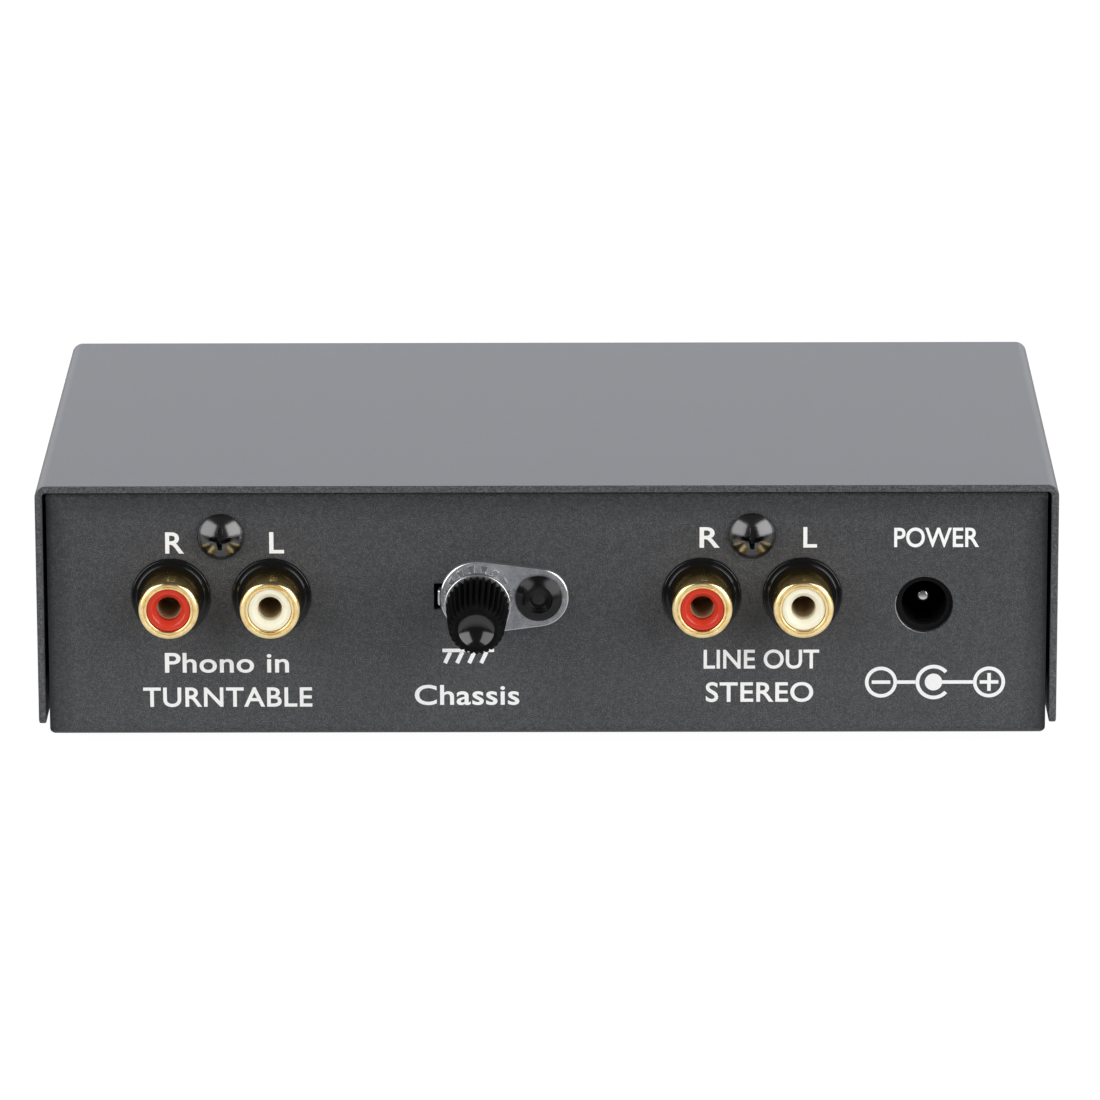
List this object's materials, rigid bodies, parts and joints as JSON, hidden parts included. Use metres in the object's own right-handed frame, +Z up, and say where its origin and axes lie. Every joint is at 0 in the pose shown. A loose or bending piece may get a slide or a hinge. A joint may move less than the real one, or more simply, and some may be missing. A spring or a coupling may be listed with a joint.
{
  "type": "phono preamp",
  "caption": "Folded-steel phono preamplifier with input and output jack pairs, a ground terminal with a knurled thumb nut and a DC socket.",
  "frame": {"origin": "centre of the whole part's footprint, on the surface that the feet stand on", "axes": "+X to the right as seen from the connector side, +Y away from the connectors towards the lamp panel, +Z up"},
  "size_m": [0.1436, 0.1028, 0.038],
  "materials": {
    "powder_coat": "fine-grained satin powder coat, dark grey",
    "black_screw": "glossy black plating",
    "foot_rubber": "matt black rubber",
    "board": "green solder mask",
    "nickel_plate": "satin nickel plate",
    "gloss_black_plastic": "glossy black moulding",
    "gold_plate": "polished gold plate",
    "red_insulator": "semi-gloss red plastic",
    "white_insulator": "semi-gloss warm white plastic",
    "tinned_metal": "tinned copper alloy",
    "knurled_plastic": "black plastic, matt knurl and glossy dish",
    "lamp_lens": "tinted translucent lens",
    "chip_plastic": "matt black epoxy",
    "film_case": "dark red epoxy case",
    "capacitor_sleeve": "dark blue sleeve",
    "resistor_paint": "light blue lacquer"
  },
  "bodies": {
    "case": {"chassis": "powder_coat", "cover": "powder_coat", "cover_screws": "black_screw", "rubber_feet": "foot_rubber", "circuit_board": "board", "board_standoffs": "nickel_plate", "board_screws": "nickel_plate", "input_jack_body": "gloss_black_plastic", "output_jack_body": "gloss_black_plastic", "jack_screws": "black_screw", "input_right_shell": "gold_plate", "input_left_shell": "gold_plate", "output_right_shell": "gold_plate", "output_left_shell": "gold_plate", "input_right_insulator": "red_insulator", "input_left_insulator": "white_insulator", "output_right_insulator": "red_insulator", "output_left_insulator": "white_insulator", "input_right_contact": "gold_plate", "input_left_contact": "gold_plate", "output_right_contact": "gold_plate", "output_left_contact": "gold_plate", "dc_socket_body": "gloss_black_plastic", "dc_centre_pin": "nickel_plate", "dc_spring_contact": "tinned_metal", "ground_plate": "nickel_plate", "ground_rivet": "black_screw", "rivet_mandrel": "black_screw", "ground_stud": "nickel_plate", "ground_tag": "tinned_metal", "ground_tooth_washer": "nickel_plate", "ground_hex_nut": "nickel_plate", "power_lamp": "lamp_lens", "lamp_leads": "tinned_metal", "op_amps": "chip_plastic", "op_amp_leads": "tinned_metal", "film_capacitors": "film_case", "coupling_capacitors": "capacitor_sleeve", "supply_capacitors": "capacitor_sleeve", "capacitor_leads": "tinned_metal", "voltage_regulator": "chip_plastic", "regulator_leads": "tinned_metal", "resistors": "resistor_paint", "resistor_leads": "tinned_metal", "supply_diode": "chip_plastic"},
    "clamp_washer": {"sliding_washer": "nickel_plate"},
    "thumb_nut": {"thumb_nut_insert": "nickel_plate", "thumb_nut_cap": "knurled_plastic"}
  },
  "joints": [
    {"name": "washer_travel", "type": "slide", "parent": "case", "child": "clamp_washer", "axis": [0, -1, 0], "range_m": [0, 0.0035]},
    {"name": "nut_turn", "type": "hinge", "parent": "clamp_washer", "child": "thumb_nut", "pos_m": [-0.0096, -0.0394, 0.022], "axis": [0, -1, 0], "range_deg": [0, 1800]}
  ],
  "couplings": [
    {"joint": "nut_turn", "follows": "washer_travel", "rad_per_m": 8976}
  ]
}
